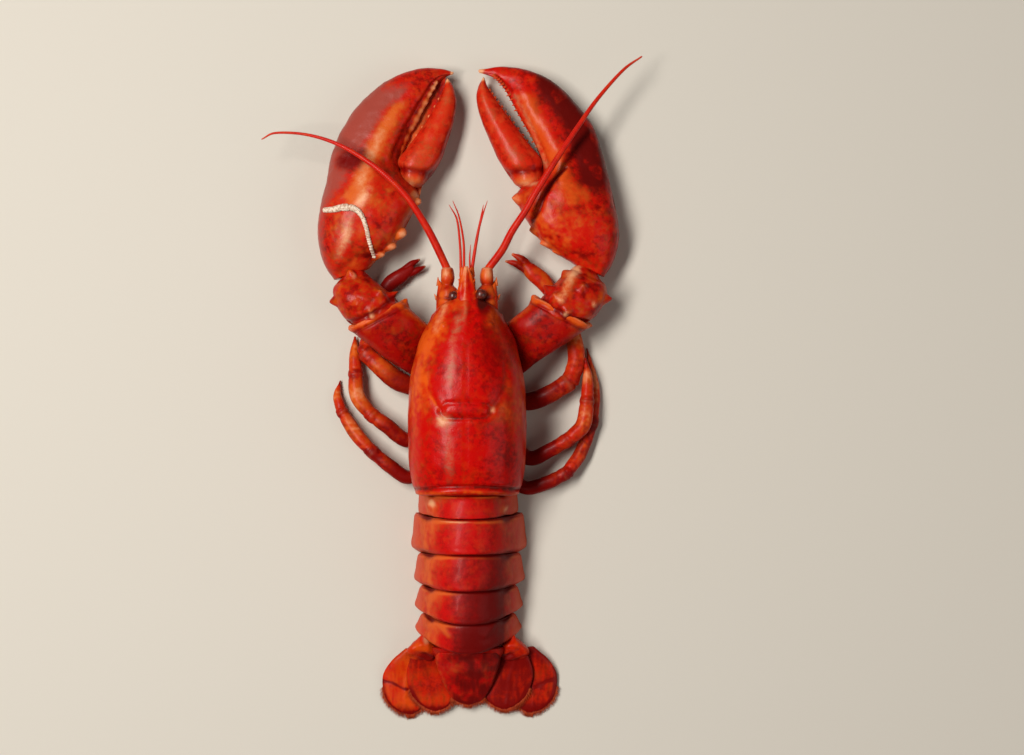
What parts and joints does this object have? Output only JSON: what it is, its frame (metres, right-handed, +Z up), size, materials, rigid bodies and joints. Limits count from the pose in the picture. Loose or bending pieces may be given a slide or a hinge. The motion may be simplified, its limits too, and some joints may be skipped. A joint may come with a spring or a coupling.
{
  "type": "cooked lobster",
  "caption": "Whole boiled red lobster lying on its belly, with heavy claws held forward, long feelers, walking legs and a fanned tail.",
  "frame": {"origin": "on the surface the lobster lies on, on the flat keel of the breastplate, in the body's middle plane", "axes": "+X to the lobster's right, +Y towards its head, +Z up"},
  "size_m": [0.1766, 0.3104, 0.0488],
  "materials": {
    "shell_red": "boiled shell, satin gloss, orange towards its edges",
    "claw_red": "boiled claw shell, satin gloss, mottled red and orange",
    "limb_orange": "thin boiled shell, satin gloss, orange red with pale joints",
    "belly_pale": "thin pale orange under shell, soft sheen",
    "feeler_red": "ringed red, satin gloss",
    "eye_dark": "very dark red brown, soft gloss"
  },
  "bodies": {
    "root": {"antenna_left": "feeler_red", "antenna_right": "feeler_red", "arm_base_left": "limb_orange", "arm_base_right": "limb_orange", "carapace": "shell_red", "claw_finger_left": "claw_red", "claw_finger_right": "claw_red", "claw_left": "claw_red", "claw_right": "claw_red", "eye_left": "eye_dark", "eye_right": "eye_dark", "fan_base_left": "limb_orange", "fan_base_right": "limb_orange", "fan_inner_left": "limb_orange", "fan_inner_right": "limb_orange", "fan_outer_left": "limb_orange", "fan_outer_right": "limb_orange", "feeler_base_left": "shell_red", "feeler_base_right": "shell_red", "jaw_leg_left": "limb_orange", "jaw_leg_right": "limb_orange", "leg_1_left_pincer": "limb_orange", "leg_1_left_shin": "limb_orange", "leg_1_left_thigh": "limb_orange", "leg_1_right_pincer": "limb_orange", "leg_1_right_shin": "limb_orange", "leg_1_right_thigh": "limb_orange", "leg_2_left_foot": "limb_orange", "leg_2_left_shin": "limb_orange", "leg_2_left_thigh": "limb_orange", "leg_2_right_foot": "limb_orange", "leg_2_right_shin": "limb_orange", "leg_2_right_thigh": "limb_orange", "leg_3_left_foot": "limb_orange", "leg_3_left_shin": "limb_orange", "leg_3_left_thigh": "limb_orange", "leg_3_right_foot": "limb_orange", "leg_3_right_shin": "limb_orange", "leg_3_right_thigh": "limb_orange", "leg_4_left_shin": "limb_orange", "leg_4_left_thigh": "limb_orange", "leg_4_right_shin": "limb_orange", "leg_4_right_thigh": "limb_orange", "small_feeler_left": "feeler_red", "small_feeler_right": "feeler_red", "tail_ring_1": "shell_red", "tail_ring_2": "shell_red", "tail_ring_3": "shell_red", "tail_ring_4": "shell_red", "tail_ring_5": "shell_red", "tail_ring_6": "shell_red", "telson": "shell_red", "underbody": "belly_pale", "upper_arm_left": "claw_red", "upper_arm_right": "claw_red", "wrist_left": "claw_red", "wrist_right": "claw_red"}
  },
  "joints": []
}
